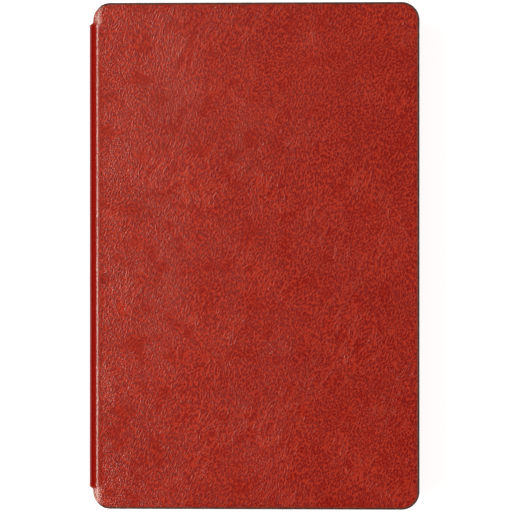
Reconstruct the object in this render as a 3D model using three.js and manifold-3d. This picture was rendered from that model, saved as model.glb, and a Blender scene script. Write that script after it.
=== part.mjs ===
// Leather notebook cover, closed and lying on its back cover. Millimetres, +Z up.
// +X runs from the spine to the fore edge and +Y to the top edge. The origin is the middle of the footprint.
// Two stiff, padded covers are joined by a narrow spine. Inside each cover, a leather sleeve takes the
// notebook's own cover. The outer leather and the lining run from cover to cover. They are parted here at
// the two hinge lines, so that each of the three rigid bodies has solids of its own.
import * as THREE from "three";
import { mergeVertices } from "three/addons/utils/BufferGeometryUtils.js";
import Module from "manifold-3d";

// Overall sizes
const coverHeight = 225; // top edge to bottom edge
const coverWidth = 147; // spine face to fore edge
const bayDepth = 12.6; // room between the two linings when the cover is closed
const cornerRadius = 8; // all the covers' corners, seen from the front

// Layers of a cover, from the outside in
const leatherThickness = 1.1;
const paddingThickness = 0.6;
const boardThickness = 1.2;
const liningThickness = 0.5;
const glueLine = 0.1; // between any two layers
const edgePaintWidth = 0.7; // bead of paint round the cut edge

// Spine and folds
const foldRadius = 5; // outside of the leather where it turns from cover to spine
const hingeMargin = 2; // from the end of the fold to the board
const hingeSlit = 0.3; // parting between two bodies along a hinge line
const earInset = 2.1; // the covers' spine-side corners stop short of the spine face by this
const notchDepth = 9.4; // the spine is shorter than the covers by this at each end
const notchGap = 0.3; // between the end of a fold and the corner beside it
const spineBoardThickness = 1;
const spineBoardEndGap = 2; // from the spine board to the end of the spine
const liningLiftAngle = THREE.MathUtils.degToRad(70); // where the lining leaves the fold for the spine board

// Sleeve inside each cover
const sleeveWidth = 80;
const sleeveMargin = 1; // from the sleeve to the cover's outline
const sleeveThickness = 0.9;
const mouthCornerRadius = 1.5; // corners of the sleeve at its open edge
const thumbCutLength = 100; // curved cut in the open edge
const thumbCutDepth = 9;
const weltWidth = 5.5; // strips that hold the sleeve off the lining
const weltThickness = 1.4;
const weltGap = 0.2; // between the ends of two strips
const seamInset = 2.7; // from the sleeve's edge to the middle of the seam
const threadWidth = 0.6;
const threadHeight = 0.35;
const threadGap = 0.05; // seam thread to sleeve

// Places that follow from the sizes
const boardedLayers = leatherThickness + paddingThickness + boardThickness + liningThickness;
const panelThickness = boardedLayers + 3 * glueLine;
const closedThickness = 2 * panelThickness + bayDepth;
const spineFace = -coverWidth / 2;
const foreEdge = coverWidth / 2;
const topEdge = coverHeight / 2;
const earEdge = spineFace + earInset;
const foldStart = spineFace + foldRadius;
const boardStart = foldStart + hingeMargin;
const notchHalf = topEdge - notchDepth;
const earHalf = notchHalf + notchGap;
const layerInset = edgePaintWidth + glueLine; // leather, board and lining stop inside the bead of paint
const paddingLevel = leatherThickness + glueLine;
const boardLevel = paddingLevel + paddingThickness + glueLine;
const liningLevel = boardLevel + boardThickness + glueLine;
const foldLiningTop = paddingLevel + liningThickness; // beside the board, the lining lies on the leather
const sleeveMouth = foreEdge - sleeveMargin - sleeveWidth;
const weltLevel = panelThickness + glueLine;
const sleeveLevel = weltLevel + weltThickness + glueLine;
const threadLevel = sleeveLevel + sleeveThickness + threadGap;
const hingeAngle = Math.PI / 4; // each hinge line is half-way round its fold
const slitAngle = hingeSlit / 2 / (foldRadius - leatherThickness / 2);

const arcSegments = 10;
const smallestRadius = 0.1; // an inner outline's corner that would be tighter than this
const beyond = 5; // a cutting block passes the faces that it cuts by this

const finishes = {
  leather: new THREE.MeshStandardMaterial({ color: 0x9c2e24, roughness: 0.45, metalness: 0 }),
  edgePaint: new THREE.MeshStandardMaterial({ color: 0x4a2018, roughness: 0.5, metalness: 0 }),
  lining: new THREE.MeshStandardMaterial({ color: 0x4d3024, roughness: 0.95, metalness: 0 }),
  board: new THREE.MeshStandardMaterial({ color: 0x9a8f80, roughness: 0.9, metalness: 0 }),
  padding: new THREE.MeshStandardMaterial({ color: 0xd8d4cc, roughness: 1, metalness: 0 }),
  thread: new THREE.MeshStandardMaterial({ color: 0x5a231b, roughness: 0.7, metalness: 0 }),
};

// ---- Closed solids, and the joins and cuts between them ----

const wasm = await Module();
wasm.setup();

function solidOf(geometry) {
  const bare = geometry.clone();
  bare.deleteAttribute("normal");
  bare.deleteAttribute("uv");
  const merged = mergeVertices(bare, 1e-4);
  const mesh = new wasm.Mesh({
    numProp: 3,
    vertProperties: merged.attributes.position.array,
    triVerts: new Uint32Array(merged.index.array),
  });
  return new wasm.Manifold(mesh);
}

function geometryOf(solid) {
  const mesh = solid.getMesh();
  const geometry = new THREE.BufferGeometry();
  geometry.setAttribute("position", new THREE.BufferAttribute(mesh.vertProperties, 3));
  geometry.setIndex(new THREE.BufferAttribute(mesh.triVerts, 1));
  return geometry.toNonIndexed();
}

function named(name, geometry, finish) {
  geometry.computeVertexNormals();
  const mesh = new THREE.Mesh(geometry, finish);
  mesh.name = name;
  return mesh;
}

// A flat outline in XY, raised from one level by a thickness.
function slab(outline, level, thickness) {
  const settings = { depth: thickness, bevelEnabled: false, curveSegments: arcSegments };
  return new THREE.ExtrudeGeometry(outline, settings).translate(0, 0, level);
}

// A cross-section in XZ, run along Y from one place to another.
function strip(section, fromY, toY) {
  const settings = { depth: toY - fromY, bevelEnabled: false };
  return new THREE.ExtrudeGeometry(section, settings).rotateX(Math.PI / 2).translate(0, toY, 0);
}

function block(x0, x1, y0, y1, z0, z1) {
  const box = new THREE.BoxGeometry(x1 - x0, y1 - y0, z1 - z0);
  return box.translate((x0 + x1) / 2, (y0 + y1) / 2, (z0 + z1) / 2);
}

// ---- Outlines, seen from the front ----

// The cover's outline drawn in by an inset, and cut straight at startX if that is inside its spine edge.
function coverOutline(inset, startX = -Infinity) {
  const radius = Math.max(cornerRadius - inset, smallestRadius);
  const spineSideX = earEdge + inset + radius;
  const foreSideX = foreEdge - inset - radius;
  const cornerY = topEdge - inset - radius;
  const outline = new THREE.Shape();
  if (startX > spineSideX) {
    outline.moveTo(startX, cornerY + radius);
    outline.lineTo(startX, -cornerY - radius);
  } else {
    const cutAngle = Math.acos(Math.max((startX - spineSideX) / radius, -1));
    outline.absarc(spineSideX, cornerY, radius, Math.PI / 2, cutAngle, false);
    outline.absarc(spineSideX, -cornerY, radius, -cutAngle, -Math.PI / 2, false);
  }
  outline.absarc(foreSideX, -cornerY, radius, -Math.PI / 2, 0, false);
  outline.absarc(foreSideX, cornerY, radius, 0, Math.PI / 2, false);
  return outline;
}

// The sleeve has round corners at the fore edge and a curved thumb cut in its open edge.
function sleeveOutline() {
  const radius = cornerRadius - sleeveMargin;
  const foreSideX = foreEdge - cornerRadius;
  const cornerY = topEdge - cornerRadius;
  const mouthX = sleeveMouth + mouthCornerRadius;
  const mouthY = topEdge - sleeveMargin - mouthCornerRadius;
  const halfCut = thumbCutLength / 2;
  const cutRadius = (halfCut ** 2 + thumbCutDepth ** 2) / (2 * thumbCutDepth);
  const cutCentreX = sleeveMouth + thumbCutDepth - cutRadius;
  const cutAngle = Math.asin(halfCut / cutRadius);
  const outline = new THREE.Shape();
  outline.absarc(mouthX, mouthY, mouthCornerRadius, Math.PI / 2, Math.PI, false);
  outline.absarc(cutCentreX, 0, cutRadius, cutAngle, -cutAngle, true);
  outline.absarc(mouthX, -mouthY, mouthCornerRadius, Math.PI, 1.5 * Math.PI, false);
  outline.absarc(foreSideX, -cornerY, radius, -Math.PI / 2, 0, false);
  outline.absarc(foreSideX, cornerY, radius, 0, Math.PI / 2, false);
  return outline;
}

// ---- Cross-sections of the folds and the spine ----

// The lower fold turns about a point one fold radius above the outer face, level with the end of the cover.
// An angle of 0 is where the fold leaves the cover, and a quarter turn is where it meets the spine.
function foldPoints(radius, fromAngle, toAngle) {
  return Array.from({ length: arcSegments + 1 }, (_, i) => {
    const angle = THREE.MathUtils.lerp(fromAngle, toAngle, i / arcSegments);
    return new THREE.Vector2(foldStart - radius * Math.sin(angle), foldRadius - radius * Math.cos(angle));
  });
}

// One layer of a cover's share of the fold, with a tail that lies in the same layer of the cover.
function coverFoldSection(outerRadius, thickness) {
  const end = hingeAngle - slitAngle;
  const tailX = boardStart - glueLine;
  const level = foldRadius - outerRadius;
  return new THREE.Shape([
    new THREE.Vector2(tailX, level),
    new THREE.Vector2(tailX, level + thickness),
    ...foldPoints(outerRadius - thickness, 0, end),
    ...foldPoints(outerRadius, end, 0),
  ]);
}

// One layer of the spine, from the lower hinge line to the upper one. Its upper half mirrors its lower half.
function spineSection(outside, inside) {
  const mirrored = (points) => points.map((p) => new THREE.Vector2(p.x, closedThickness - p.y));
  return new THREE.Shape([
    ...outside,
    ...mirrored(outside).reverse(),
    ...mirrored(inside),
    ...inside.slice().reverse(),
  ]);
}

// A layer that keeps to the outer face of the spine all the way.
function spineShellSection(thickness) {
  const start = hingeAngle + slitAngle;
  const outside = foldPoints(foldRadius, start, Math.PI / 2);
  const inside = foldPoints(foldRadius - thickness, start, Math.PI / 2);
  return spineSection(outside, inside);
}

// The lining lies on the leather in each fold and lifts over the spine board between them.
function spineLiningSection() {
  const start = hingeAngle + slitAngle;
  const outerRadius = foldRadius - paddingLevel;
  const overBoardX = spineFace + leatherThickness + spineBoardThickness + 2 * glueLine;
  const liftEnd = foldRadius - glueLine;
  const outside = foldPoints(outerRadius, start, liningLiftAngle);
  const inside = foldPoints(outerRadius - liningThickness, start, liningLiftAngle);
  outside.push(new THREE.Vector2(overBoardX, liftEnd));
  inside.push(new THREE.Vector2(overBoardX + liningThickness, liftEnd - liningThickness / 2));
  return spineSection(outside, inside);
}

// ---- Layers of a cover ----

// A flat layer of the cover joined to its share of the fold, which stands clear of the corners beside it.
function withFold(flat, outerRadius, thickness) {
  const foldPlace = block(earEdge - beyond, foldStart, -earHalf, earHalf, -beyond, closedThickness);
  const fold = strip(coverFoldSection(outerRadius, thickness), -notchHalf, notchHalf);
  return flat.subtract(solidOf(foldPlace)).add(solidOf(fold));
}

function coverLeather() {
  const flat = solidOf(slab(coverOutline(layerInset), 0, leatherThickness));
  return geometryOf(withFold(flat, foldRadius, leatherThickness));
}

// The lining is flat over the board, and slopes down past its end onto the leather.
function coverLining() {
  const boardEnd = boardStart - glueLine;
  const section = new THREE.Shape([
    new THREE.Vector2(foreEdge, liningLevel),
    new THREE.Vector2(foreEdge, panelThickness),
    new THREE.Vector2(boardEnd, panelThickness),
    new THREE.Vector2(foldStart + glueLine, foldLiningTop),
    new THREE.Vector2(earEdge, foldLiningTop),
    new THREE.Vector2(earEdge, paddingLevel),
    new THREE.Vector2(boardEnd, paddingLevel),
    new THREE.Vector2(boardEnd, liningLevel),
  ]);
  const outline = slab(coverOutline(layerInset), -beyond, panelThickness + 2 * beyond);
  const flat = solidOf(strip(section, -topEdge, topEdge)).intersect(solidOf(outline));
  return geometryOf(withFold(flat, foldRadius - paddingLevel, liningThickness));
}

// The bead of edge paint goes all round the cover, apart from the stretch where the spine joins it.
// It is only as high as the leather and lining at the spine-side corners, where there is no board.
function coverEdgePaint() {
  const height = panelThickness - 2 * glueLine;
  const ring = solidOf(slab(coverOutline(0), glueLine, height));
  const inside = slab(coverOutline(edgePaintWidth), -beyond, height + 2 * beyond);
  const spineJoin = block(earEdge - beyond, foldStart, -earHalf, earHalf, -beyond, closedThickness);
  const outerY = topEdge + beyond;
  const boardEnd = boardStart - glueLine;
  const overEars = block(earEdge - beyond, boardEnd, -outerY, outerY, foldLiningTop, closedThickness);
  const bead = ring.subtract(solidOf(inside)).subtract(solidOf(spineJoin)).subtract(solidOf(overEars));
  return geometryOf(bead);
}

// ---- Sleeve ----

// A band along three sides of the sleeve, between two distances from its edge.
function sleeveBand(nearInset, farInset, level, thickness) {
  const whole = slab(coverOutline(sleeveMargin + nearInset, sleeveMouth), level, thickness);
  const innerOutline = coverOutline(sleeveMargin + farInset, sleeveMouth - beyond);
  const middle = slab(innerOutline, level - beyond, thickness + 2 * beyond);
  return solidOf(whole).subtract(solidOf(middle));
}

// A strip of the sleeve's own outline, between two places along Y and from one place across to the fore edge.
function weltStrip(fromX, fromY, toY) {
  const whole = slab(coverOutline(sleeveMargin, sleeveMouth), weltLevel, weltThickness);
  const place = block(fromX, foreEdge, fromY, toY, 0, closedThickness);
  return geometryOf(solidOf(whole).intersect(solidOf(place)));
}

function sleeveThread() {
  const nearInset = seamInset - threadWidth / 2;
  return geometryOf(sleeveBand(nearInset, nearInset + threadWidth, threadLevel, threadHeight));
}

// ---- Assembly ----

// One cover, with its outer face down at z = 0 and its sleeve on top.
function cover(side) {
  const boardOutline = coverOutline(layerInset, boardStart);
  const weltY = topEdge - sleeveMargin - weltWidth;
  const foreWeltX = foreEdge - sleeveMargin - weltWidth;
  const foreWeltY = weltY - weltGap;
  const topWelt = weltStrip(sleeveMouth - beyond, weltY, topEdge);
  const foreWelt = weltStrip(foreWeltX, -foreWeltY, foreWeltY);
  const bottomWelt = weltStrip(sleeveMouth - beyond, -topEdge, -weltY);
  const padding = slab(boardOutline, paddingLevel, paddingThickness);
  const board = slab(boardOutline, boardLevel, boardThickness);
  const sleeve = slab(sleeveOutline(), sleeveLevel, sleeveThickness);
  const group = new THREE.Group();
  group.add(
    named(`${side}_leather`, coverLeather(), finishes.leather),
    named(`${side}_padding`, padding, finishes.padding),
    named(`${side}_board`, board, finishes.board),
    named(`${side}_lining`, coverLining(), finishes.lining),
    named(`${side}_edge_paint`, coverEdgePaint(), finishes.edgePaint),
    named(`${side}_sleeve_welt_top`, topWelt, finishes.leather),
    named(`${side}_sleeve_welt_fore`, foreWelt, finishes.leather),
    named(`${side}_sleeve_welt_bottom`, bottomWelt, finishes.leather),
    named(`${side}_sleeve`, sleeve, finishes.leather),
    named(`${side}_sleeve_thread`, sleeveThread(), finishes.thread),
  );
  return group;
}

function spine() {
  const layerHalf = notchHalf - layerInset;
  const paintHalf = notchHalf - edgePaintWidth;
  const boardHalf = notchHalf - spineBoardEndGap;
  const boardX = spineFace + leatherThickness + glueLine;
  const boardEndX = boardX + spineBoardThickness;
  const boardTop = closedThickness - foldRadius;
  const leather = strip(spineShellSection(leatherThickness), -layerHalf, layerHalf);
  const board = block(boardX, boardEndX, -boardHalf, boardHalf, foldRadius, boardTop);
  const lining = strip(spineLiningSection(), -layerHalf, layerHalf);
  const paintSection = spineShellSection(foldLiningTop);
  const group = new THREE.Group();
  group.add(
    named("spine_leather", leather, finishes.leather),
    named("spine_board", board, finishes.board),
    named("spine_lining", lining, finishes.lining),
    named("spine_edge_paint_top", strip(paintSection, paintHalf, notchHalf), finishes.edgePaint),
    named("spine_edge_paint_bottom", strip(paintSection, -notchHalf, -paintHalf), finishes.edgePaint),
  );
  return group;
}

const frontCover = cover("front");
frontCover.position.z = closedThickness;
frontCover.scale.z = -1; // the front cover is the back cover's mirror image
const notebookCover = new THREE.Group();
notebookCover.add(cover("back"), spine(), frontCover);

export default notebookCover;
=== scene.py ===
# A refillable leather notebook cover, closed and lying on its back. Metres, +Z up, +X to the fore edge.
from math import asin, atan2, cos, hypot, pi, radians, sin

import bpy
import numpy as np
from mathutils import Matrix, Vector, noise
from mathutils.geometry import delaunay_2d_cdt
from mathutils.kdtree import KDTree


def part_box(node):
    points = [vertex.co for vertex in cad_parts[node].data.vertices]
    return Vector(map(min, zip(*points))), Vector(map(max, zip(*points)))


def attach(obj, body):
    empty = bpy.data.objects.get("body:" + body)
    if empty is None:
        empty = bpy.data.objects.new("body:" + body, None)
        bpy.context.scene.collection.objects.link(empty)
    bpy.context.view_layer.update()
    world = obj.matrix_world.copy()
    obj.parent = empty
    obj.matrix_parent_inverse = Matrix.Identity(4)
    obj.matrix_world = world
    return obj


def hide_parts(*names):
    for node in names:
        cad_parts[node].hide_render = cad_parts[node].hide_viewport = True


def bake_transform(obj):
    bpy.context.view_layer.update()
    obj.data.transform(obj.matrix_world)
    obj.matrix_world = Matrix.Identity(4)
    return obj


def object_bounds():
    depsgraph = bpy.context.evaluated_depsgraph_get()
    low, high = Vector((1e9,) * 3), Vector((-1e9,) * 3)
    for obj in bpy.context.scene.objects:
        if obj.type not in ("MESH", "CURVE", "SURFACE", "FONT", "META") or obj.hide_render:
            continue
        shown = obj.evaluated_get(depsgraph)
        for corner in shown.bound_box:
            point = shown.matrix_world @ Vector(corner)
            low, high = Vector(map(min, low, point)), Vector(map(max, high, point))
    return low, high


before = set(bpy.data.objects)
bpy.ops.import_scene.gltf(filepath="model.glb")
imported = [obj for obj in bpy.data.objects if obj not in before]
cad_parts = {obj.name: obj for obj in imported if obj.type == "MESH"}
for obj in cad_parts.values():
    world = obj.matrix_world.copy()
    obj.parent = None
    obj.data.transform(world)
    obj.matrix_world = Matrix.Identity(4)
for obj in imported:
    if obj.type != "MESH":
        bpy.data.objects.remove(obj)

cad_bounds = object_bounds()
MM = 0.001

# ---- Studio ----
# A plain white light table seen from straight above, in a dark room. A large light overhead is polarised,
# so it lights without a gleam, and a dim warm screen and a bright narrow strip on the left gleam along the
# fold. The table itself glows a little, so that it stays clean white right up to the object.

low, high = cad_bounds
camera_distance = 1.0
sensor_width = 36 * MM
picture_width = 227.1 * MM                          # what the camera takes in, level with the front cover
camera_yaw = radians(1.7)                           # it looks on from slightly to the right
camera_target = Vector((1.08 * MM, -0.07 * MM, high.z))
table_half = 3.0
table_drop = 0.05 * MM                              # keeps the table's face off the cover's


def white_table():
    material = bpy.data.materials.new("light_table")
    material.use_nodes = True
    shader = material.node_tree.nodes["Principled BSDF"]
    shader.inputs["Base Color"].default_value = (0.9, 0.9, 0.9, 1)
    shader.inputs["Roughness"].default_value = 0.7
    shader.inputs["Emission Color"].default_value = (1, 1, 1, 1)
    shader.inputs["Emission Strength"].default_value = 0.75
    mesh = bpy.data.meshes.new("light_table")
    corners = [(x * table_half, y * table_half, 0) for x, y in ((-1, -1), (1, -1), (1, 1), (-1, 1))]
    mesh.from_pydata(corners, [], [(0, 1, 2, 3)])
    mesh.materials.append(material)
    table = bpy.data.objects.new("light_table", mesh)
    bpy.context.scene.collection.objects.link(table)
    table.location.z = -table_drop
    table.visible_glossy = False


def soft_light(name, place, size, power, colour=(1, 1, 1), gleams=True):
    """A rectangular light that faces the object. Only one that gleams is mirrored in the leather."""
    data = bpy.data.lights.new(name, "AREA")
    data.shape = "RECTANGLE"
    data.size, data.size_y = size
    data.energy = power
    data.color = colour
    light = bpy.data.objects.new(name, data)
    bpy.context.scene.collection.objects.link(light)
    light.location = place
    light.rotation_euler = (-Vector(place)).to_track_quat("-Z", "Y").to_euler()
    light.visible_camera = False
    light.visible_glossy = gleams


def dim_room():
    """A dark room. The leather mirrors next to nothing from overhead and the sides, and white below."""
    world = bpy.data.worlds.new("studio")
    world.use_nodes = True
    tree = world.node_tree
    direction = tree.nodes.new("ShaderNodeTexCoord")
    height = tree.nodes.new("ShaderNodeSeparateXYZ")
    ramp = tree.nodes.new("ShaderNodeValToRGB")
    ramp.color_ramp.elements[0].position = 0.18
    ramp.color_ramp.elements[0].color = (1, 1, 1, 1)
    ramp.color_ramp.elements[1].position = 0.42
    ramp.color_ramp.elements[1].color = (0.02, 0.02, 0.02, 1)
    ramp.color_ramp.elements.new(0.75).color = (0.01, 0.01, 0.01, 1)
    turned = tree.nodes.new("ShaderNodeMath")
    turned.operation = "MULTIPLY_ADD"
    turned.inputs[1].default_value = 0.5
    turned.inputs[2].default_value = 0.5
    tree.links.new(direction.outputs["Generated"], height.inputs[0])
    tree.links.new(height.outputs[2], turned.inputs[0])
    tree.links.new(turned.outputs[0], ramp.inputs[0])
    tree.links.new(ramp.outputs[0], tree.nodes["Background"].inputs["Color"])
    bpy.context.scene.world = world


def studio():
    scene = bpy.context.scene
    dim_room()
    scene.view_settings.view_transform = "Standard"
    soft_light("overhead", (0.5, -0.1, 1.4), (1.3, 1.3), 6.0, gleams=False)
    soft_light("left_screen", (-0.35, 0.15, 1.15), (0.9, 0.5), 1.0, (1, 0.74, 0.5))
    soft_light("left_strip", (-0.60, 0.04, 0.92), (1.2, 0.15), 9.0, (1, 0.88, 0.76))
    data = bpy.data.cameras.new("camera")
    data.sensor_width = sensor_width / MM
    data.lens = data.sensor_width * camera_distance / picture_width
    camera = bpy.data.objects.new("camera", data)
    scene.collection.objects.link(camera)
    camera.rotation_euler = (0, camera_yaw, 0)
    camera.location = camera_target + camera.rotation_euler.to_matrix() @ Vector((0, 0, camera_distance))
    scene.camera = camera


white_table()
studio()

# ---- Outer leather ----
# One skin of red-brown, crinkled and waxed leather over front, spine and back, cut with round corners and
# with a notch at each end of the spine. It is glued over the padding and turns round the two folds, and
# its spine-side corners bend down with it. It is made in two halves, which meet along the spine's middle.

spine_face = low.x
fore_edge = high.x
top_edge = high.y
closed_thickness = high.z
half_thickness = closed_thickness / 2
fold_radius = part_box("spine_board")[0].z
half_spine = half_thickness - fold_radius           # flat part of the spine, from its middle to a fold
cover_start = half_spine + fold_radius * pi / 2     # places across are measured along the leather
notch_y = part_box("spine_edge_paint_top")[1].y
corner_radius = 8 * MM
leather_thickness = 1.15 * MM
skin_inset = 0.35 * MM                              # from the outline in to the skin's edge, in the paint
skin_spacing = 1.4 * MM
fold_spacing = 0.55 * MM
rim_dip = 0.24 * MM
rim_dip_width = 1.7 * MM
sway_size = (17 * MM, 23 * MM)
ripple_size = (5 * MM, 7 * MM)


def across_at(x):
    """How far along the leather, from the middle of the spine, a place on a cover lies."""
    return cover_start + x - (spine_face + fold_radius)


ear_across = across_at(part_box("back_edge_paint")[0].x) - 0.35 * MM      # the spine-side corners' own edge
fore_across = across_at(fore_edge)
board_across = across_at(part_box("back_board")[0].x)
ear_bend_start = board_across - 0.6 * MM
ear_bend_length = 1.1 * MM
ear_angle = radians(13.5)
ear_relax = 2.8 * MM                                # a corner lets go of the fold's curve over this
ear_edge_blend = 0.7 * MM
notch_fillet = 0.9 * MM
notch_rise = 0.3 * MM                               # the notch is this much shallower at the corner's side
notch_rise_start = 7.5 * MM


def smooth(value):
    value = np.clip(value, 0, 1)
    return value * value * (3 - 2 * value)


def fold_angle(across, along):
    """How far the leather has turned from flat on the cover (0) to flat on the spine (a quarter turn)."""
    on_fold = np.clip((cover_start - across) / fold_radius, 0, pi / 2)
    on_ear = ear_angle * smooth((ear_bend_start - across) / ear_bend_length)
    ear_share = smooth((np.abs(along) - notch_y + ear_relax * 0.7) / ear_relax)
    ear_share = ear_share * smooth((across - ear_across) / ear_edge_blend + 1)
    return on_fold + (on_ear - on_fold) * ear_share


def place(pattern, depth):
    """Lays points of the flat leather pattern, each at a depth below its face, on the closed cover.
    A pattern point is (across, along). Across is below 0 on the back half."""
    across, along = np.abs(pattern[:, 0]), pattern[:, 1]
    flat_from = cover_start + 3 * MM                # past every bend
    steps = 64
    step = (flat_from - np.minimum(across, flat_from)) / steps
    x = spine_face + fold_radius + np.maximum(across, flat_from) - cover_start
    drop = np.zeros_like(x)
    for i in range(steps):
        angle = fold_angle(flat_from - (i + 0.5) * step, along)
        x -= np.cos(angle) * step
        drop += np.sin(angle) * step
    angle = fold_angle(across, along)
    x = np.maximum(x, spine_face) + np.sin(angle) * depth
    z = closed_thickness - drop - np.cos(angle) * depth
    z = np.where(pattern[:, 0] < 0, closed_thickness - z, z)
    return np.stack([x, along, z], axis=1)


def line(start, end, count):
    share = np.linspace(0, 1, count, endpoint=False)[:, None]
    return np.array(start) * (1 - share) + np.array(end) * share


def arc(centre, radius, from_angle, to_angle, count=14):
    angle = np.linspace(from_angle, to_angle, count, endpoint=False)
    return np.array(centre) + radius * np.stack([np.cos(angle), np.sin(angle)], axis=1)


def mirrored(upper):
    """A closed outline from its upper half, which runs from the spine side over to the fore edge. Where
    the outline crosses the middle line, the half stops just short of it."""
    return np.vstack([upper, upper[::-1] * (1, -1)])


def skin_outline(inset, seam_inset=None):
    """The upper half of the skin's outline, from the middle of the spine to the fore edge."""
    seam = inset if seam_inset is None else seam_inset
    ear_x, ear_y = ear_across + corner_radius, top_edge - corner_radius
    fore_x = fore_across - corner_radius
    radius = corner_radius - inset
    fillet_x, fillet_y = ear_across - notch_fillet, notch_y + notch_rise + notch_fillet
    rise = np.linspace(0, 1, 8, endpoint=False)[:, None]
    rise_start = np.array((notch_rise_start, notch_y - inset))
    rise_end = np.array((fillet_x, notch_y + notch_rise - inset))
    upper = [
        line((seam, notch_y - inset), rise_start, 12),
        rise_start + (rise_end - rise_start) * np.hstack([rise, smooth(rise)]),
        arc((fillet_x, fillet_y), notch_fillet + inset, -pi / 2, 0, 7),
        arc((ear_x, ear_y), radius, pi, pi / 2),
        line((ear_x, top_edge - inset), (fore_x, top_edge - inset), 100),
        arc((fore_x, ear_y), radius, pi / 2, 0),
        line((fore_across - inset, ear_y), (fore_across - inset, 0.6 * MM), 80),
    ]
    return np.vstack(upper)


def skin_rings(insets):
    """Closed rings for a half's skin. Its straight side, along the middle of the spine, is no real edge."""
    rings, rims = [], []
    for inset in insets:
        outline = mirrored(skin_outline(inset))
        seam_y = notch_y - inset
        seam_line = line((inset, -seam_y), (inset, seam_y), 120)[1:]
        rings.append(np.vstack([outline, seam_line]))
        rims.append(np.concatenate([np.full(len(outline), inset), notch_y - np.abs(seam_line[:, 1])]))
    first = insets[0]
    for ring in rings:
        ring[:, 0] -= first * smooth(1 - (ring[:, 0] - first) / (2 * MM))
    return rings, [rim - first for rim in rims]


def filled(ring, columns, spacing):
    """Triangles inside a ring, on a staggered grid of points."""
    near = KDTree(len(ring))
    for i, point in enumerate(ring):
        near.insert((*point, 0), i)
    near.balance()
    bottom, top = ring[:, 1].min(), ring[:, 1].max()
    points = [Vector(p) for p in ring]
    for i, x in enumerate(columns):
        for y in np.arange(bottom + spacing * (0.5 + 0.5 * (i % 2)), top, spacing):
            if near.find((x, y, 0))[2] > 0.6 * spacing:
                points.append(Vector((x, y)))
    result = delaunay_2d_cdt(points, [], [list(range(len(ring)))], 1, 1e-9)
    used = sorted({*range(len(ring)), *(i for corners in result[2] for i in corners)})
    number = {old: new for new, old in enumerate(used)}
    faces = [[number[i] for i in corners] for corners in result[2]]
    return np.array([tuple(result[0][i]) for i in used]), faces


def solid_sheet(name, rings, rims, side, face, back, columns, spacing):
    """A closed sheet. Its outline is the first ring, and face and back give its two faces' depths from
    the pattern place and the distance to the rim. side is 1 for the front half and -1 for the back."""
    count = len(rings[0])
    inner, inner_faces = filled(rings[-1], columns, spacing)
    pattern = np.vstack([*rings[:-1], inner])
    rim = np.concatenate([*rims[:-1], rims[-1], np.full(len(inner) - count, rims[-1].max())])
    start = count * (len(rings) - 1)
    faces = [tuple(start + i for i in face_points) for face_points in inner_faces]
    for k in range(len(rings) - 1):
        for i in range(count):
            j = (i + 1) % count
            faces.append((k * count + i, k * count + j, (k + 1) * count + j, (k + 1) * count + i))
    total = len(pattern)
    faces += [tuple(total + i for i in reversed(points)) for points in faces]
    faces += [(i, total + i, total + (i + 1) % count, (i + 1) % count) for i in range(count)]
    signed = pattern * (side, 1)
    depths = np.concatenate([face(signed, rim), back(signed, rim)])
    both = np.vstack([signed, signed])
    mesh = bpy.data.meshes.new(name)
    mesh.from_pydata(place(both, depths).tolist(), [], faces)
    return finished(name, mesh, both, np.concatenate([rim, rim]))


def finished(name, mesh, pattern, rim):
    """Turns a mesh the right way out, stores its pattern places and makes it an object."""
    flat = mesh.attributes.new("pattern", "FLOAT_VECTOR", "POINT")
    flat.data.foreach_set("vector", np.column_stack([pattern, rim]).astype(np.float32).ravel())
    mesh.update()
    mesh.calc_loop_triangles()
    corners = np.array([t.vertices for t in mesh.loop_triangles])
    points = np.array([v.co for v in mesh.vertices])[corners]
    volume = np.einsum("ij,ij->i", points[:, 0], np.cross(points[:, 1], points[:, 2])).sum()
    if volume < 0:
        mesh.flip_normals()
    mesh.shade_smooth()
    mesh.set_sharp_from_angle(angle=radians(50))
    piece = bpy.data.objects.new(name, mesh)
    bpy.context.scene.collection.objects.link(piece)
    return piece


def leather_face(pattern, rim):
    """The leather dips at its rim, less beside the fold, and its face is never quite flat."""
    away_from_fold = smooth((np.abs(pattern[:, 0]) - 11 * MM) / (6 * MM))
    dip = rim_dip * (0.15 + 0.85 * away_from_fold) * np.clip(1 - rim / rim_dip_width, 0, 1) ** 2
    sway = [noise.noise((x / sway_size[0], y / sway_size[1], 3.1)) for x, y in pattern]
    ripple = [noise.noise((x / ripple_size[0], y / ripple_size[1], 8.7)) for x, y in pattern]
    return dip + MM * (0.045 + 0.05 * np.array(sway) + 0.012 * np.array(ripple)).clip(0)


def leather_back(pattern, rim):
    return np.full(len(pattern), leather_thickness)


def columns_between(start, end, spacing):
    """Closer together round the fold than on the flat."""
    fold_end = cover_start + 4 * MM
    return np.concatenate([np.arange(start, fold_end, fold_spacing), np.arange(fold_end, end, spacing)])


class Wire:
    """A shader value. An expression on wires adds the Math nodes that work it out."""

    def __init__(self, shade, socket):
        self.shade, self.socket = shade, socket

    def math(self, operation, *others):
        return self.shade.node("ShaderNodeMath", {"operation": operation}, dict(enumerate((self, *others))))

    def __add__(self, other):
        return self.math("ADD", other)

    def __mul__(self, other):
        return self.math("MULTIPLY", other)

    def __sub__(self, other):
        return self.math("SUBTRACT", other)

    def __rsub__(self, other):
        return self.math("MULTIPLY", -1).math("ADD", other)

    def __truediv__(self, other):
        return self.math("DIVIDE", other)

    __radd__ = __add__
    __rmul__ = __mul__

    def between(self, low_end, high_end):
        """0 below low_end, 1 above high_end, and a smooth step in between."""
        settings = {"interpolation_type": "SMOOTHSTEP"}
        return self.shade.node("ShaderNodeMapRange", settings, {0: self, 1: low_end, 2: high_end})


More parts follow.
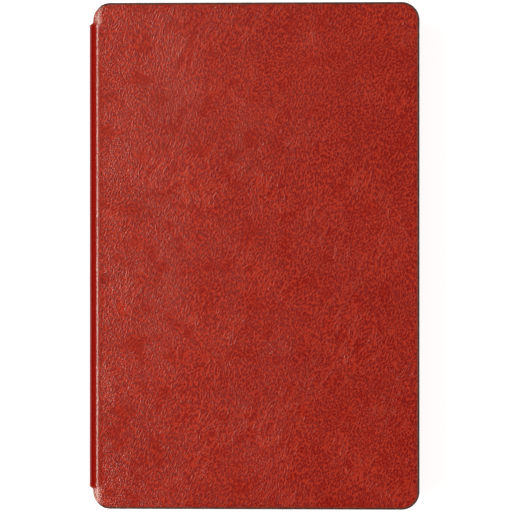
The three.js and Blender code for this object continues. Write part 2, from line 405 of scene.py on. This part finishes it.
class Shade:
    """A material in the making."""

    def __init__(self, name):
        self.material = bpy.data.materials.new(name)
        self.material.use_nodes = True
        self.tree = self.material.node_tree
        self.surface = self.tree.nodes["Principled BSDF"]

    def node(self, kind, settings, values, output=0):
        node = self.tree.nodes.new(kind)
        for key, value in settings.items():
            setattr(node, key, value)
        self.fill(node, values)
        return Wire(self, node.outputs[output])

    def fill(self, node, values):
        for key, value in values.items():
            if isinstance(value, Wire):
                self.tree.links.new(value.socket, node.inputs[key])
            else:
                node.inputs[key].default_value = value

    def colour_mix(self, share, first, second):
        return self.node("ShaderNodeMix", {"data_type": "RGBA"}, {0: share, 6: first, 7: second}, 2)

    def pattern(self):
        """The piece's flat pattern in millimetres, and the distance to its rim."""
        metres = self.node("ShaderNodeAttribute", {"attribute_name": "pattern"}, {}, 1)
        in_mm = self.node("ShaderNodeVectorMath", {"operation": "SCALE"}, {0: metres, 3: 1000})
        across = self.node("ShaderNodeSeparateXYZ", {}, {0: in_mm}, 0)
        along = self.node("ShaderNodeSeparateXYZ", {}, {0: in_mm}, 1)
        rim = self.node("ShaderNodeSeparateXYZ", {}, {0: in_mm}, 2)
        flat = self.node("ShaderNodeCombineXYZ", {}, {0: across, 1: along})
        return flat, across, along, rim

    def drawn_out(self, vector, turn, stretch):
        """Makes a texture's features longer by the stretch, in the direction of the turn."""
        values = {"Vector": vector, "Rotation": (0, 0, turn), "Scale": (stretch, 1, 1)}
        return self.node("ShaderNodeMapping", {"vector_type": "TEXTURE"}, values)

    def noise(self, vector, scale, detail=2, roughness=0.5, distortion=0, output=0):
        values = {"Vector": vector, "Scale": scale, "Detail": detail}
        values |= {"Roughness": roughness, "Distortion": distortion}
        return self.node("ShaderNodeTexNoise", {"noise_dimensions": "2D"}, values, output)

    def noise_3d(self, vector, scale, detail):
        return self.node("ShaderNodeTexNoise", {}, {"Vector": vector, "Scale": scale, "Detail": detail})

    def bump(self, height, distance):
        """height is in shares of the distance, and the distance is in metres."""
        return self.node("ShaderNodeBump", {}, {"Height": height, "Distance": distance, "Strength": 1.0})

    def finish(self, **values):
        """Sets the surface: an underscore in a name stands for a space."""
        self.fill(self.surface, {key.replace("_", " "): value for key, value in values.items()})
        return self.material


def fine_line(shade, across, along, start, end, bow, width):
    """A natural mark in the hide: a raised line from start to end, in millimetres, bowed to one side."""
    run, rise = end[0] - start[0], end[1] - start[1]
    length = hypot(run, rise)
    turn = atan2(rise, run)
    ahead = (across - start[0]) * cos(turn) + (along - start[1]) * sin(turn)
    aside = (along - start[1]) * cos(turn) - (across - start[0]) * sin(turn)
    share = ahead / length
    waver = shade.noise(shade.node("ShaderNodeCombineXYZ", {}, {0: ahead, 1: aside}), 0.16, 2, 0.6) - 0.5
    off = (aside - share * (1 - share) * (4 * bow) + waver * 1.6).math("ABSOLUTE")
    ends = share.between(0.0, 0.15) * (1 - share.between(0.8, 1.0))
    return (1 - off.between(0.0, width)) * ends


def leather_material(name, dark, light, grain=1.0, marks=()):
    """Crinkled leather: a fine network of ridges round darker pits, which follows a slow flow, bundles of
    longer wrinkles, winding veins, and burnished patches with less grain. The pits' dark colour is partly
    dye and partly painted shade, and the ridges' light colour is painted highlight. On the fold's steep side
    and over the spine the colour is painted dark as shade, and a band along the rim is painted lighter as a
    highlight."""
    shade = Shade(name)
    flat, across, along, rim = shade.pattern()
    drift = shade.noise(flat, 0.022, 1, output=1)
    drift = shade.node("ShaderNodeVectorMath", {"operation": "SUBTRACT"}, {0: drift, 1: (0.5, 0.5, 0.5)})
    drift = shade.node("ShaderNodeVectorMath", {"operation": "SCALE"}, {0: drift, 3: 9.0})
    bent = shade.node("ShaderNodeVectorMath", {"operation": "ADD"}, {0: flat, 1: drift})
    flow = shade.drawn_out(bent, radians(62), 1.9)
    streak_flow = shade.drawn_out(bent, radians(60), 6)
    jitter = shade.noise(flow, 1.6, 1, output=1)
    jitter = shade.node("ShaderNodeVectorMath", {"operation": "SCALE"}, {0: jitter, 3: 0.4})
    jittered = shade.node("ShaderNodeVectorMath", {"operation": "ADD"}, {0: flow, 1: jitter})
    values = {"Vector": jittered, "Scale": 1.4 * grain}
    pits = shade.node("ShaderNodeTexVoronoi", {"voronoi_dimensions": "2D"}, values)
    coarse = shade.noise(flow, 1.5 * grain, 2, 0.7, 0.3)
    streaks = shade.noise(streak_flow, 0.7, 1.5, 0.5, 0.3)
    winding = shade.noise(shade.drawn_out(bent, radians(62), 2.3), 0.24, 3, 0.55, 0.5)
    veins = 1 - (winding - 0.5).math("ABSOLUTE").between(0.0, 0.05)
    burnish = shade.noise(bent, 0.12, 2, 0.55, 0.2).between(0.22, 0.52)
    bundle = shade.noise(bent, 0.045, 2, 0.5, 0.4).between(0.45, 0.62)
    network = pits * 2.6 - 0.95
    crinkle = (network + (coarse - 0.5) * 0.8) * (0.4 + 0.6 * burnish)
    relief = crinkle + (streaks - 0.5) * bundle * 0.8 + veins * (0.2 + 0.5 * bundle)
    for start, end, bow, width in marks:
        relief = relief + fine_line(shade, across, along, start, end, bow, width) * 0.55
    # Where the fold's painted shade goes: the fold's steep side and the spine.
    on_fold = 1 - across.math("ABSOLUTE").between(9.2, 10.8)
    calmed = 1 - across.math("ABSOLUTE").between(11.0, 15.0)
    relief = relief * (1 - 0.9 * calmed)
    # The tone picks the base colour: the light colour on ridges is painted highlight, the dark colour in
    # pits is part dye and part painted shade.
    tone = relief.between(-0.4, 0.85)
    body = shade.colour_mix(tone, dark, light)
    cloudy = shade.noise(flat, 0.03, 3, 0.6)
    body = shade.colour_mix(cloudy.between(0.3, 0.7) * 0.15, body, [c * 0.72 for c in dark[:3]] + [1])
    # Painted shade: on the fold's steep side and over the spine the colour is pulled most of the way to the
    # dark colour.
    body = shade.colour_mix(on_fold * 0.85, body, dark)
    # Painted highlight: the leather's colour is lighter in a band about a millimetre wide along its rim.
    painted_rim_highlight = 1 - rim.between(0.1, 1.3)
    body = shade.colour_mix(painted_rim_highlight * 0.55, body, (0.44, 0.07, 0.035, 1))
    roughness = (0.20 + 0.02 * burnish + 0.04 * (1 - tone)) * (1 - 0.35 * calmed)
    normal = shade.bump(relief, 0.04 * MM)
    return shade.finish(Base_Color=body, Roughness=roughness, Normal=normal)


# Natural marks in the hide, in millimetres on its pattern: both ends, the bow to one side and the width.
hide_marks = (
    ((34.4, 38.1), (17.9, 22.1), 1.5, 0.5),
    ((136.6, -86.5), (117.0, -105.2), 1.6, 0.5),
    ((132.2, 111.5), (125.0, 91.9), 1.0, 0.45),
    ((128.6, -61.7), (117.4, -82.8), -1.4, 0.6),
    ((103.0, -48.2), (93.8, -68.6), 1.2, 0.55),
    ((58.0, 72.0), (43.0, 41.0), -1.5, 0.5),
)
# The grain's two colours: the dark one for the pits, part dye and part painted shade, and the light one for
# the ridges, painted highlight.
outer_dark = (0.27, 0.0004, 0.0001, 1)
outer_light = (0.58, 0.035, 0.012, 1)
outer_leather = leather_material("outer_leather", outer_dark, outer_light, marks=hide_marks)


def outer_skin(name, side):
    insets = [skin_inset + d * MM for d in (0, 0.15, 0.4, 0.8, 1.4, 2.2)]
    rings, rims = skin_rings(insets)
    columns = columns_between(insets[-1] + 0.3 * MM, fore_across, skin_spacing)
    piece = solid_sheet(name, rings, rims, side, leather_face, leather_back, columns, skin_spacing)
    piece.data.materials.append(outer_leather)
    return piece


def bend_front(piece):
    """Bakes the piece's placement into its mesh. It is already laid over the spine and round the upper fold.
    """
    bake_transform(piece)


def bend_back(piece):
    """Bakes the piece's placement into its mesh. It is already laid over the back cover and round the lower
    fold.
    """
    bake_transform(piece)


front_skin = outer_skin("front_outer_leather", 1)
bend_front(front_skin)
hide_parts("front_leather", "spine_leather")
back_skin = outer_skin("back_outer_leather", -1)
bend_back(back_skin)
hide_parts("back_leather", "spine_leather")

# ---- Lining ----
# A sheet of brown brushed microfibre, glued over the boards and straight onto the leather in the folds and
# at the spine-side corners. Like the leather, it is shown in two halves, which meet in the spine's middle.

lining_thickness = 0.5 * MM
lining_inset = 0.4 * MM
lining_columns = 2.4 * MM
lining_spacing = 1.8 * MM
panel_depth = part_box("back_lining")[1].z            # from the leather's face to the lining's, over a board
bare_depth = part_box("spine_board")[0].x - spine_face + lining_thickness     # the same without a board
spine_board_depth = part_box("spine_board")[1].x - spine_face + 0.1 * MM + lining_thickness
spine_board_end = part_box("spine_board")[1].y
spine_lift_end = half_spine + 0.1 * MM
spine_lift = 1.8 * MM                               # the lining slopes up onto a board over this
board_lift = board_across - cover_start - 0.2 * MM


def lining_depth(pattern):
    across, along = np.abs(pattern[:, 0]), np.abs(pattern[:, 1])
    on_board = smooth((across - cover_start - 0.1 * MM) / board_lift)
    on_spine = smooth((spine_lift_end + spine_lift - across) / spine_lift)
    on_spine = on_spine * smooth((spine_board_end + 1.3 * MM - along) / (1.1 * MM))
    rise = (panel_depth - bare_depth) * on_board + (spine_board_depth - bare_depth) * on_spine
    return bare_depth + rise


def lining_face(pattern, rim):
    return lining_depth(pattern) - 0.1 * MM * np.clip(1 - rim / (0.8 * MM), 0, 1) ** 2


def lining_back(pattern, rim):
    return lining_depth(pattern) - lining_thickness


def lining_material():
    """Short fibres, brushed this way and that in soft patches."""
    shade = Shade("brown_microfibre")
    flat = shade.pattern()[0]
    nap = shade.noise(shade.drawn_out(flat, radians(70), 2.2), 2.2, 3, 0.7)
    brushed = shade.noise(shade.drawn_out(flat, radians(-20), 2.2), 0.13, 2, 0.5, 0.2)
    worn = shade.noise(flat, 0.02, 2)
    tone = nap * 0.65 + brushed * 0.35
    body = shade.colour_mix(tone.between(0.25, 0.75), (0.036, 0.018, 0.011, 1), (0.095, 0.050, 0.030, 1))
    body = shade.colour_mix(worn.between(0.5, 0.8) * 0.25, body, (0.135, 0.08, 0.052, 1))
    normal = shade.bump(nap + brushed * 1.5, 0.09 * MM)
    shade.fill(shade.surface, {"Sheen Weight": 0.35, "Sheen Roughness": 0.4, "Specular IOR Level": 0.2})
    return shade.finish(Base_Color=body, Roughness=0.9 + 0.08 * nap, Normal=normal)


brown_microfibre = lining_material()


def lining(name, side):
    insets = [lining_inset + d * MM for d in (0, 0.3, 0.8, 1.6)]
    rings, rims = skin_rings(insets)
    columns = columns_between(insets[-1] + 0.3 * MM, fore_across, lining_columns)
    piece = solid_sheet(name, rings, rims, side, lining_back, lining_face, columns, lining_spacing)
    piece.data.materials.append(brown_microfibre)
    return piece


lining_cut = (fore_across, 2 * top_edge)
lining_area = 0.965 * lining_cut[0] * lining_cut[1]     # less its round corners and the spine's notches
front_lining = lining("front_microfibre_lining", 1)
bend_front(front_lining)
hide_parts("front_lining", "spine_lining")
back_lining = lining("back_microfibre_lining", -1)
bend_back(back_lining)
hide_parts("back_lining", "spine_lining")

# ---- Edge paint ----
# The cut edges of leather and lining are sanded flush and painted with dark brown edge paint, in several
# coats, which set as one round bead. It goes round both covers and across both ends of the spine.

# The bead's section, in millimetres: each corner's distance in from the outline, and its depth under the
# leather's face or the lining's.
leather_lip = ((1.0, 0.16), (0.88, 0.08), (0.5, 0.09), (0.28, 0.17), (0.1, 0.36), (0, 0.65))
lining_lip = ((0, 0.65), (0.1, 0.3), (0.3, 0.1), (0.6, 0.02), (0.85, 0.2))


def edge_paint_material():
    """Thick, slightly wavy paint, rubbed a little lighter where hands wear it."""
    shade = Shade("dark_edge_paint")
    place_at = shade.node("ShaderNodeTexCoord", {}, {}, 3)
    waves = shade.noise_3d(place_at, 260, 2)
    specks = shade.noise_3d(place_at, 2300, 2)
    body = shade.colour_mix(waves.between(0.35, 0.7), (0.080, 0.024, 0.017, 1), (0.145, 0.044, 0.031, 1))
    body = shade.colour_mix(specks.between(0.62, 0.75) * 0.5, body, (0.19, 0.065, 0.045, 1))
    normal = shade.bump(waves + specks * 0.15, 0.12 * MM)
    return shade.finish(Base_Color=body, Roughness=0.36 + 0.2 * specks, Normal=normal)


dark_edge_paint = edge_paint_material()


def paint_bead(name, side):
    """The bead's section, run along the outline from one end of the spine's middle to the other."""
    stations, depths = [], []
    for inset, depth in leather_lip:
        stations.append(mirrored(skin_outline(inset * MM, 0)))
        depths.append(np.full(len(stations[-1]), depth * MM))
    for inset, depth in lining_lip:
        stations.append(mirrored(skin_outline(inset * MM, 0)))
        depths.append(lining_depth(stations[-1]) - depth * MM)
    corners, count = len(stations), len(stations[0])
    pattern = np.vstack(stations) * (side, 1)
    faces = []
    for k in range(corners):
        after = (k + 1) % corners
        for i in range(count - 1):
            faces.append((k * count + i, k * count + i + 1, after * count + i + 1, after * count + i))
    faces.append([k * count for k in range(corners)])
    faces.append([k * count + count - 1 for k in reversed(range(corners))])
    mesh = bpy.data.meshes.new(name)
    mesh.from_pydata(place(pattern, np.concatenate(depths)).tolist(), [], faces)
    piece = finished(name, mesh, pattern, np.zeros(len(pattern)))
    piece.data.materials.append(dark_edge_paint)
    return piece


front_bead = paint_bead("front_edge_paint_bead", 1)
bend_front(front_bead)
back_bead = paint_bead("back_edge_paint_bead", -1)
bend_back(back_bead)
for bead, cover in ((front_bead, "front"), (back_bead, "back")):
    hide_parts(f"{cover}_edge_paint", "spine_edge_paint_top", "spine_edge_paint_bottom")

# ---- Boards and padding ----
# Grey-brown bookbinder's board stiffens each cover and the spine. On each cover's board, under the leather,
# lies a thin sheet of white foam. They are die-cut, glued in, and stop short of the folds.

board_edge = 0.85 * MM                              # from the cover's outline to the boards
board_rounding = 0.2 * MM
board_spacing = 7 * MM
foam_levels = [corner.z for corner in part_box("back_padding")]
board_levels = [corner.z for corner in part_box("back_board")]


def board_outline(inset):
    """The upper half of a cover board's outline, cut straight beside the fold."""
    cut = board_across + inset
    inset = inset + board_edge
    corner_x, corner_y = ear_across + corner_radius, top_edge - corner_radius
    radius = corner_radius - inset
    cut_angle = pi / 2 + asin((corner_x - cut) / radius)
    cut_y = corner_y + radius * sin(cut_angle)
    fore_x = fore_across - corner_radius
    upper = [
        line((cut, 1 * MM), (cut, cut_y), 12),
        arc((corner_x, corner_y), radius, cut_angle, pi / 2, 6),
        line((corner_x, top_edge - inset), (fore_x, top_edge - inset), 16),
        arc((fore_x, corner_y), radius, pi / 2, 0),
        line((fore_across - inset, corner_y), (fore_across - inset, 1 * MM), 12),
    ]
    return np.vstack(upper)


def flat_piece(name, side, rings, insets, levels, rounding, spacing, relief=None):
    """A flat piece between two depths, with rounded edges. relief deepens or lifts its inner face."""
    def rounded(rim):
        return rounding * (1 - np.sqrt(1 - np.clip(1 - rim / rounding, 0, 1) ** 2))

    def outer(pattern, rim):
        return levels[0] + rounded(rim)

    def inner(pattern, rim):
        depth = levels[1] - rounded(rim)
        return depth if relief is None else depth + relief(pattern, rim)

    rims = [np.full(len(ring), inset) for ring, inset in zip(rings, insets)]
    columns = np.arange(rings[-1][:, 0].min() + spacing, rings[-1][:, 0].max(), spacing)
    return solid_sheet(name, rings, rims, side, outer, inner, columns, spacing)


def board_material():
    """Pressed grey-brown pulp with darker and lighter fibres."""
    shade = Shade("bookbinding_board")
    place_at = shade.node("ShaderNodeTexCoord", {}, {}, 3)
    pulp = shade.noise_3d(place_at, 900, 3)
    fibres = shade.noise_3d(shade.drawn_out(place_at, radians(20), 4), 2600, 2)
    body = shade.colour_mix(pulp.between(0.3, 0.7), (0.21, 0.17, 0.125, 1), (0.36, 0.31, 0.245, 1))
    body = shade.colour_mix(fibres.between(0.6, 0.72) * 0.6, body, (0.12, 0.09, 0.065, 1))
    return shade.finish(Base_Color=body, Roughness=0.85 + 0.1 * pulp, Normal=shade.bump(pulp, 0.1 * MM))


def foam_material():
    """Fine open-celled foam."""
    shade = Shade("white_foam")
    place_at = shade.node("ShaderNodeTexCoord", {}, {}, 3)
    cells = shade.node("ShaderNodeTexVoronoi", {}, {"Vector": place_at, "Scale": 2200})
    patches = shade.noise_3d(place_at, 120, 2)
    body = shade.colour_mix(cells.between(0.1, 0.6), (0.55, 0.53, 0.48, 1), (0.78, 0.76, 0.71, 1))
    body = shade.colour_mix(patches.between(0.45, 0.7) * 0.3, body, (0.66, 0.60, 0.49, 1))
    return shade.finish(Base_Color=body, Roughness=0.93 - 0.05 * cells, Normal=shade.bump(cells, 0.08 * MM))


bookbinding_board = board_material()
white_foam = foam_material()
board_insets = (0, 0.06 * MM, 0.2 * MM, 1.5 * MM)
board_rings = [mirrored(board_outline(inset)) for inset in board_insets]
for cover, side in (("front", 1), ("back", -1)):
    cut = (side, board_rings, board_insets)
    foam = flat_piece(f"{cover}_foam_padding", *cut, foam_levels, board_rounding, board_spacing)
    foam.data.materials.append(white_foam)
    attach(foam, f"{cover}_cover")
    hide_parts(f"{cover}_padding")
    board = flat_piece(f"{cover}_cover_board", *cut, board_levels, board_rounding, board_spacing)
    board.data.materials.append(bookbinding_board)
    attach(board, f"{cover}_cover")
    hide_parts(f"{cover}_board")
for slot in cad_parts["spine_board"].material_slots:
    slot.material = bookbinding_board

# ---- Sleeves ----
# Inside each cover, a sleeve of smoother leather takes the notebook's own cover. It is sewn on three sides
# over strips that hold it off the lining. Its open edge has a curved cut for the thumb and lifts a little.

sleeve_low, sleeve_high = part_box("back_sleeve")
sleeve_levels = (sleeve_low.z, sleeve_high.z)
mouth_across = across_at(sleeve_low.x)
sleeve_fore = across_at(sleeve_high.x)
sleeve_top = sleeve_high.y
sleeve_corner = corner_radius - (top_edge - sleeve_top)
mouth_corner = 1.5 * MM
thumb_cut_half = 50 * MM
thumb_cut_depth = 9 * MM
seam_inset = 2.7 * MM
seam_groove = 0.2 * MM
seam_groove_half = 0.45 * MM
sleeve_sway = 0.05 * MM
sleeve_sway_size = (14 * MM, 19 * MM)
sleeve_rounding = 0.25 * MM
sleeve_spacing = 1.8 * MM
welt_rounding = 0.3 * MM
welt_spacing = 1.3 * MM
mouth_lift = 0.45 * MM
mouth_lift_reach = 26 * MM
mouth_lift_half = 92 * MM


def sleeve_outline(inset):
    """The upper half of a sleeve's outline, from the thumb cut's middle to the fore edge."""
    cut_radius = (thumb_cut_half ** 2 + thumb_cut_depth ** 2) / (2 * thumb_cut_depth)
    cut_centre = (mouth_across + thumb_cut_depth - cut_radius, 0)
    mouth = mouth_across + inset
    top = sleeve_top - inset
    cut_end = asin(min(1, thumb_cut_half / (cut_radius + inset)))
    cut_end_y = (cut_radius + inset) * sin(cut_end)
    small = max(mouth_corner - inset, 0.05 * MM)
    radius = max(sleeve_corner - inset, 0.05 * MM)
    upper = [
        arc(cut_centre, cut_radius + inset, 0.5 * MM / cut_radius, cut_end, 40),
        line((mouth, cut_end_y), (mouth, top - small), 40),
        arc((mouth + small, top - small), small, pi, pi / 2, 6),
        line((mouth + small, top), (sleeve_fore - inset - radius, top), 60),
        arc((sleeve_fore - inset - radius, top - radius), radius, pi / 2, 0),
        line((sleeve_fore - inset, top - radius), (sleeve_fore - inset, 0.6 * MM), 80),
    ]
    return np.vstack(upper)


def sleeve_relief(pattern, rim):
    """A shallow groove under the seam, carried on round the mouth as a crease, and hardly any sway."""
    groove = -seam_groove * np.clip(1 - np.abs(rim - seam_inset) / seam_groove_half, 0, 1)
    sway = [noise.noise((x / sleeve_sway_size[0], y / sleeve_sway_size[1], 5.3)) for x, y in pattern]
    return groove + sleeve_sway * np.array(sway)


def lifted_at_mouth(piece, cover_side):
    """The open edge stands off the lining a little, most beside the thumb cut."""
    across = np.array([d.vector[0] for d in piece.data.attributes["pattern"].data])
    along = np.array([d.vector[1] for d in piece.data.attributes["pattern"].data])
    near_mouth = smooth(1 - (np.abs(across) - mouth_across) / mouth_lift_reach)
    lift = mouth_lift * near_mouth * smooth(1.25 - np.abs(along) / mouth_lift_half)
    for vertex, rise in zip(piece.data.vertices, lift):
        vertex.co.z -= cover_side * rise


def welt_outline(low_y):
    """The outline of the strip along the top of a sleeve, down to low_y."""
    def outline(inset):
        radius = sleeve_corner - inset
        corner = (sleeve_fore - sleeve_corner, sleeve_top - sleeve_corner)
        end_angle = asin((low_y + inset - corner[1]) / radius)
        end = corner + radius * np.array((cos(end_angle), sin(end_angle)))
        near, top = mouth_across + inset, sleeve_top - inset
        return np.vstack([
            line((near, low_y + inset), (near, top), 5),
            line((near, top), (corner[0], top), 40),
            arc(corner, radius, pi / 2, end_angle, 10),
            line(end, (near, low_y + inset), 40),
        ])
    return outline


def fore_welt_outline(high_y, near_across):
    """The outline of the strip along a sleeve's fore edge, from near_across out, up to high_y."""
    def outline(inset):
        radius = sleeve_corner - inset
        corner = (sleeve_fore - sleeve_corner, sleeve_top - sleeve_corner)
        start_angle = asin((high_y - inset - corner[1]) / radius)
        end = corner + radius * np.array((cos(start_angle), sin(start_angle)))
        near, top = near_across + inset, high_y - inset
        return mirrored(np.vstack([
            line((near, 0.6 * MM), (near, top), 50),
            line((near, top), end, 4),
            arc(corner, radius, start_angle, 0, 3),
            line((corner[0] + radius, corner[1]), (corner[0] + radius, 0.6 * MM), 50),
        ]))
    return outline


# The sleeve grain's two colours: dark in the pits, part dye and part painted shade, light on the ridges,
# painted highlight.
sleeve_dark = (0.29, 0.0030, 0.0012, 1)
sleeve_light = (0.46, 0.028, 0.016, 1)
smooth_leather = leather_material("sleeve_leather", sleeve_dark, sleeve_light, grain=1.2)
sleeve_insets = [d * MM for d in (0, 0.08, 0.25, 0.5, 0.95, 1.6, 2.25, 2.48, 2.7, 2.92, 3.15, 4.0)]
sleeve_rings = [mirrored(sleeve_outline(inset)) for inset in sleeve_insets]
welt_insets = [d * MM for d in (0, 0.1, 0.3, 0.7)]
welt_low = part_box("back_sleeve_welt_top")[0]
fore_welt_low, fore_welt_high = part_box("back_sleeve_welt_fore")
welt_levels = (welt_low.z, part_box("back_sleeve_welt_top")[1].z)
top_outline = welt_outline(welt_low.y)
fore_outline = fore_welt_outline(fore_welt_high.y, across_at(fore_welt_low.x))
for cover, side in (("front", 1), ("back", -1)):
    name = f"{cover}_leather_sleeve"
    cut = (side, sleeve_rings, sleeve_insets)
    sleeve = flat_piece(name, *cut, sleeve_levels, sleeve_rounding, sleeve_spacing, sleeve_relief)
    lifted_at_mouth(sleeve, side)
    top_rings = [top_outline(inset) for inset in welt_insets]
    fore_rings = [fore_outline(inset) for inset in welt_insets]
    bottom_rings = [ring * (1, -1) for ring in top_rings]
    sleeve.data.materials.append(smooth_leather)
    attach(sleeve, f"{cover}_cover")
    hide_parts(f"{cover}_sleeve")
    for edge, rings in (("top", top_rings), ("fore", fore_rings), ("bottom", bottom_rings)):
        cut = (side, rings, welt_insets)
        welt = flat_piece(f"{cover}_{edge}_strip", *cut, welt_levels, welt_rounding, welt_spacing)
        welt.data.materials.append(smooth_leather)
        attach(welt, f"{cover}_cover")
        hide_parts(f"{cover}_sleeve_welt_{edge}")

# ---- Seams ----
# Waxed, twisted thread sews each sleeve down along its top, fore and bottom edges, in short stitches that
# lie in a shallow groove. The seam begins and ends at the sleeve's mouth.

stitch_pitch = 2.9 * MM
stitch_length = 2.45 * MM
stitch_width = 0.62 * MM
stitch_height = 0.46 * MM
stitch_slant = radians(9)
seam_depth = sleeve_levels[1] - 0.02 * MM
seam_start = 1.6 * MM                               # from the mouth to the first stitch
seam_seed = 7


def stitch_tree():
    """Lays a stitch at every pitch along a path."""
    tree = bpy.data.node_groups.new("stitches_along_seam", "GeometryNodeTree")
    tree.interface.new_socket("Path", in_out="INPUT", socket_type="NodeSocketGeometry")
    for name in ("Pitch", "Length", "Width", "Height", "Slant"):
        tree.interface.new_socket(name, in_out="INPUT", socket_type="NodeSocketFloat")
    tree.interface.new_socket("Seed", in_out="INPUT", socket_type="NodeSocketInt")
    tree.interface.new_socket("Thread", in_out="INPUT", socket_type="NodeSocketMaterial")
    tree.interface.new_socket("Stitches", in_out="OUTPUT", socket_type="NodeSocketGeometry")

    def node(kind, settings=None, values=None):
        made = tree.nodes.new(kind)
        for key, value in (settings or {}).items():
            setattr(made, key, value)
        for key, value in (values or {}).items():
            if isinstance(value, bpy.types.NodeSocket):
                tree.links.new(value, made.inputs[key])
            else:
                made.inputs[key].default_value = value
        return made

    given = node("NodeGroupInput").outputs
    path = node("GeometryNodeMeshToCurve", {}, {"Mesh": given["Path"]}).outputs[0]
    spaced = {"Curve": path, "Length": given["Pitch"]}
    places = node("GeometryNodeResampleCurve", {"mode": "LENGTH"}, spaced).outputs[0]
    tangent = node("GeometryNodeInputTangent").outputs[0]
    axes = {"axis": "X", "pivot_axis": "Z"}
    facing = node("FunctionNodeAlignRotationToVector", axes, {"Vector": tangent}).outputs[0]
    ball = node("GeometryNodeMeshUVSphere", {}, {"Segments": 8, "Rings": 6, "Radius": 0.5}).outputs[0]
    at = node("GeometryNodeInputPosition").outputs[0]
    marked = node(
        "GeometryNodeStoreNamedAttribute",
        {"data_type": "FLOAT_VECTOR", "domain": "POINT"},
        {"Geometry": ball, "Name": "along_thread", "Value": at},
    ).outputs[0]
    sizes = {0: given["Length"], 1: given["Width"], 2: given["Height"]}
    size = node("ShaderNodeCombineXYZ", {}, sizes).outputs[0]
    stitch = node("GeometryNodeTransform", {}, {"Geometry": marked, "Scale": size}).outputs[0]
    laid = node(
        "GeometryNodeInstanceOnPoints",
        {},
        {"Points": places, "Instance": stitch, "Rotation": facing},
    ).outputs[0]
    least = node("ShaderNodeMath", {"operation": "MULTIPLY"}, {0: given["Slant"], 1: 0.6}).outputs[0]
    most = node("ShaderNodeMath", {"operation": "MULTIPLY"}, {0: given["Slant"], 1: 1.4}).outputs[0]
    chance = {2: least, 3: most, "Seed": given["Seed"]}
    slant = node("FunctionNodeRandomValue", {"data_type": "FLOAT"}, chance).outputs[1]
    turn = node("ShaderNodeCombineXYZ", {}, {2: slant}).outputs[0]
    turned = node("GeometryNodeRotateInstances", {}, {"Instances": laid, "Rotation": turn}).outputs[0]
    real = node("GeometryNodeRealizeInstances", {}, {"Geometry": turned}).outputs[0]
    smoothed = node("GeometryNodeSetShadeSmooth", {}, {"Geometry": real}).outputs[0]
    wound = {"Geometry": smoothed, "Material": given["Thread"]}
    threaded = node("GeometryNodeSetMaterial", {}, wound).outputs[0]
    node("NodeGroupOutput", {}, {0: threaded})
    return tree


def thread_material():
    """Two plies twisted together, waxed, with dust in the twist."""
    shade = Shade("waxed_thread")
    along_thread = shade.node("ShaderNodeAttribute", {"attribute_name": "along_thread"}, {}, 1)
    ahead = shade.node("ShaderNodeSeparateXYZ", {}, {0: along_thread}, 0)
    aside = shade.node("ShaderNodeSeparateXYZ", {}, {0: along_thread}, 1)
    twist = (ahead * 34 + aside * 5.5).math("SINE")
    place_at = shade.node("ShaderNodeTexCoord", {}, {}, 3)
    wear = shade.noise_3d(place_at, 150, 2)
    body = shade.colour_mix(twist.between(-0.9, 0.6), (0.055, 0.010, 0.007, 1), (0.20, 0.035, 0.024, 1))
    body = shade.colour_mix(wear.between(0.5, 0.75) * 0.35, body, (0.27, 0.075, 0.05, 1))
    normal = shade.bump(twist, 0.07 * MM)
    return shade.finish(Base_Color=body, Roughness=0.5 + 0.15 * wear, Normal=normal)


waxed_thread = thread_material()
seam_stitches = stitch_tree()


def seam_path(side):
    """The middle of a seam, from the mouth round to the mouth again."""
    mouth = mouth_across + seam_start
    top = sleeve_top - seam_inset
    radius = sleeve_corner - seam_inset
    fore = sleeve_fore - seam_inset
    upper = [
        line((mouth, top), (fore - radius, top), 40),
        arc((fore - radius, top - radius), radius, pi / 2, 0, 10),
        line((fore, top - radius), (fore, 1 * MM), 40),
    ]
    route = mirrored(np.vstack(upper)) * (side, 1)
    return place(route, np.full(len(route), seam_depth))


for cover, side in (("front", 1), ("back", -1)):
    points = seam_path(side)
    path_mesh = bpy.data.meshes.new(f"{cover}_seam_path")
    path_mesh.from_pydata(points.tolist(), [(i, i + 1) for i in range(len(points) - 1)], [])
    path = bpy.data.objects.new(f"{cover}_seam_path", path_mesh)
    bpy.context.scene.collection.objects.link(path)
    maker = path.modifiers.new("stitches", "NODES")
    maker.node_group = seam_stitches
    values = {
        "Pitch": stitch_pitch, "Length": stitch_length, "Width": stitch_width,
        "Height": stitch_height, "Slant": stitch_slant * side, "Seed": seam_seed, "Thread": waxed_thread,
    }
    for socket in seam_stitches.interface.items_tree:
        if socket.in_out == "INPUT" and socket.name in values:
            maker[socket.identifier] = values[socket.name]
    evaluated = path.evaluated_get(bpy.context.evaluated_depsgraph_get())
    mesh = bpy.data.meshes.new_from_object(evaluated)
    mesh.name = f"{cover}_sleeve_stitches"
    bpy.data.objects.remove(path)
    stitches = bpy.data.objects.new(f"{cover}_sleeve_stitches", mesh)
    bpy.context.scene.collection.objects.link(stitches)
    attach(stitches, f"{cover}_cover")
    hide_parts(f"{cover}_sleeve_thread")
